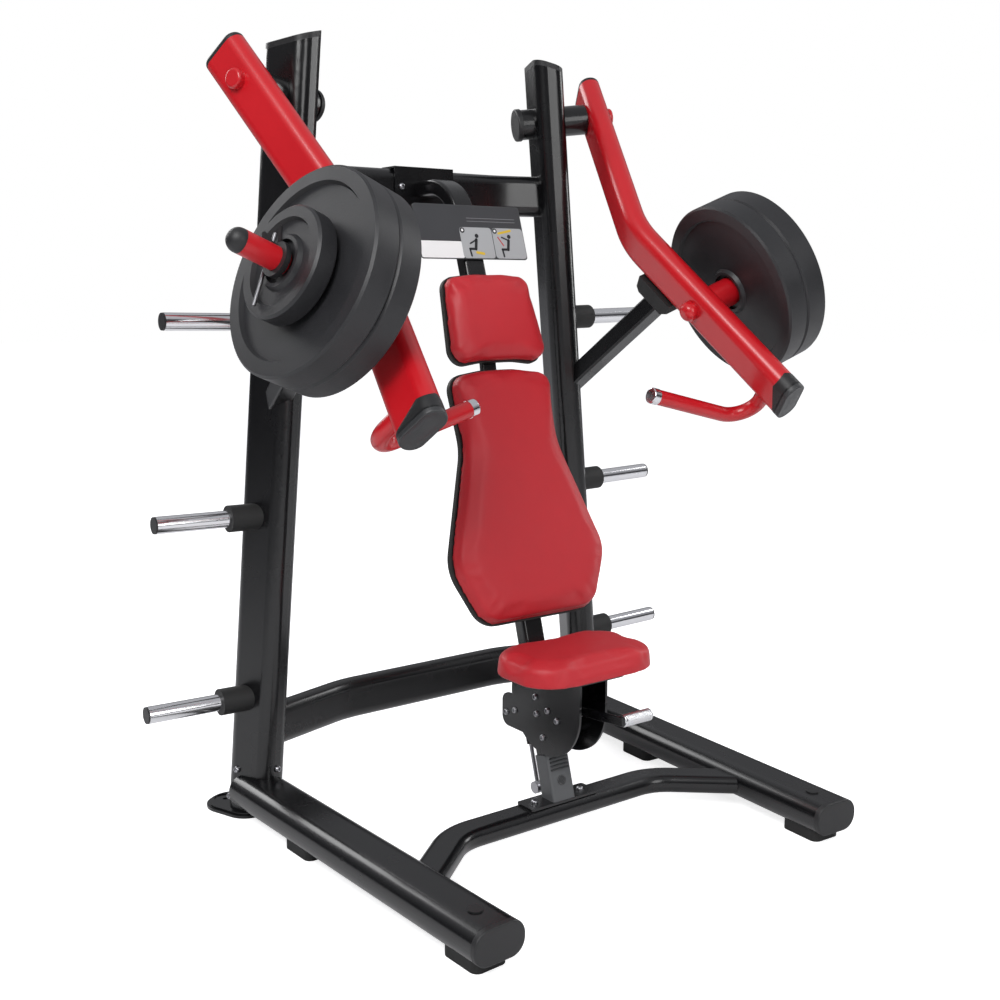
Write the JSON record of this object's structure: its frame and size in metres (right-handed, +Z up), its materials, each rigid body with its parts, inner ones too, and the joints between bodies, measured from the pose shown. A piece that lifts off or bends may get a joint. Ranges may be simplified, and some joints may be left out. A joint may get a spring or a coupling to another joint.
{
  "type": "plate-loaded chest press machine",
  "caption": "Plate-loaded chest press: leaning uprights, swinging lever arms with handles and plate sleeves, reclined back pads and a height-adjustable seat.",
  "frame": {"origin": "on the floor, under the middle of the machine's bounding box", "axes": "+Z up, -Y is the front where the user sits facing, +X is the right side seen from the front"},
  "size_m": [1.6504, 1.1417, 1.9205],
  "materials": {
    "black_frame": "gloss black powder coat",
    "red_arm": "semi-gloss red powder coat",
    "bright_steel": "polished chrome",
    "zinc": "zinc plated",
    "plate_iron": "dark grey enamel on cast iron",
    "black_plastic": "moulded black plastic",
    "grey_plastic": "moulded grey plastic",
    "rubber": "matt black rubber",
    "red_vinyl": "red upholstery vinyl over foam",
    "board": "plywood board, stained black",
    "bronze": "plain sintered bushing",
    "steel": "ground steel",
    "sign": "printed sheet"
  },
  "bodies": {
    "frame": {"backrest": "red_vinyl", "base_flanges": "black_frame", "frame_bolts": "zinc", "front_crossbeam": "black_frame", "gas_spring_rod": "steel", "headrest": "red_vinyl", "horn_collars": "rubber", "horn_end_caps": "black_plastic", "left_floor_rail": "black_frame", "left_upright": "black_frame", "lower_post": "black_frame", "lower_rear_crossbeam": "black_frame", "neck_bar": "black_frame", "pad_boards": "board", "pad_lugs": "black_frame", "pivot_bushings": "bronze", "pivot_covers": "black_plastic", "pivot_housings": "black_frame", "placard": "sign", "placard_clamp": "black_frame", "post_boot": "grey_plastic", "post_foot_bracket": "black_frame", "rail_end_caps": "black_plastic", "rail_plugs": "black_plastic", "right_floor_rail": "black_frame", "right_upright": "black_frame", "rubber_feet": "rubber", "saddle_bracket": "black_frame", "stop_braces": "black_frame", "stop_bumpers": "rubber", "storage_horns": "bright_steel", "upper_post": "black_frame", "upper_rear_crossbeam": "black_frame", "upright_caps": "black_plastic"},
    "right_arm": {"right_press_arm": "red_arm", "right_pivot_shaft": "steel", "right_handle": "red_arm", "right_handle_ring": "bright_steel", "right_load_sleeve": "red_arm", "right_arm_caps": "black_plastic"},
    "right_plates": {"right_large_plates": "plate_iron", "right_small_plate": "plate_iron"},
    "right_clip_body": {"right_clip": "bright_steel"},
    "left_arm": {"left_press_arm": "red_arm", "left_pivot_shaft": "steel", "left_handle": "red_arm", "left_handle_ring": "bright_steel", "left_load_sleeve": "red_arm", "left_arm_caps": "black_plastic"},
    "left_plates": {"left_large_plates": "plate_iron", "left_small_plate": "plate_iron"},
    "left_clip_body": {"left_clip": "bright_steel"},
    "seat_carriage": {"carriage_plates": "black_frame", "carriage_bolts": "zinc", "slide_blocks": "black_plastic", "seat_base": "black_frame", "seat_pad": "red_vinyl", "gas_spring_cylinder": "black_frame"},
    "seat_lever_body": {"seat_lever": "black_frame", "lever_grip": "bright_steel"}
  },
  "joints": [
    {"name": "right_arm_press", "type": "hinge", "parent": "frame", "child": "right_arm", "pos_m": [0.526, 0.387, 1.782], "axis": [-0.9229, 0.368, -0.1132], "range_deg": [0, 55]},
    {"name": "left_arm_press", "type": "hinge", "parent": "frame", "child": "left_arm", "pos_m": [-0.526, 0.387, 1.782], "axis": [-0.9229, -0.368, 0.1132], "range_deg": [0, 55]},
    {"name": "right_plates_slide", "type": "slide", "parent": "right_arm", "child": "right_plates", "axis": [0.9195, -0.1289, 0.3713], "range_m": [0, 0.13]},
    {"name": "right_clip_slide", "type": "slide", "parent": "right_plates", "child": "right_clip_body", "axis": [0.9195, -0.1289, 0.3713], "range_m": [0, 0.08]},
    {"name": "left_plates_slide", "type": "slide", "parent": "left_arm", "child": "left_plates", "axis": [-0.9195, -0.1289, 0.3713], "range_m": [0, 0.13]},
    {"name": "left_clip_slide", "type": "slide", "parent": "left_plates", "child": "left_clip_body", "axis": [-0.9195, -0.1289, 0.3713], "range_m": [0, 0.08]},
    {"name": "seat_height", "type": "slide", "parent": "frame", "child": "seat_carriage", "axis": [0, 0.2785, 0.9604], "range_m": [-0.07, 0.02]},
    {"name": "seat_lever_pull", "type": "hinge", "parent": "seat_carriage", "child": "seat_lever_body", "pos_m": [0, -0.132, 0.321], "axis": [-1, 0, 0], "range_deg": [0, 8], "stiffness_Nm_per_rad": 20, "springref_deg": -11.46}
  ]
}
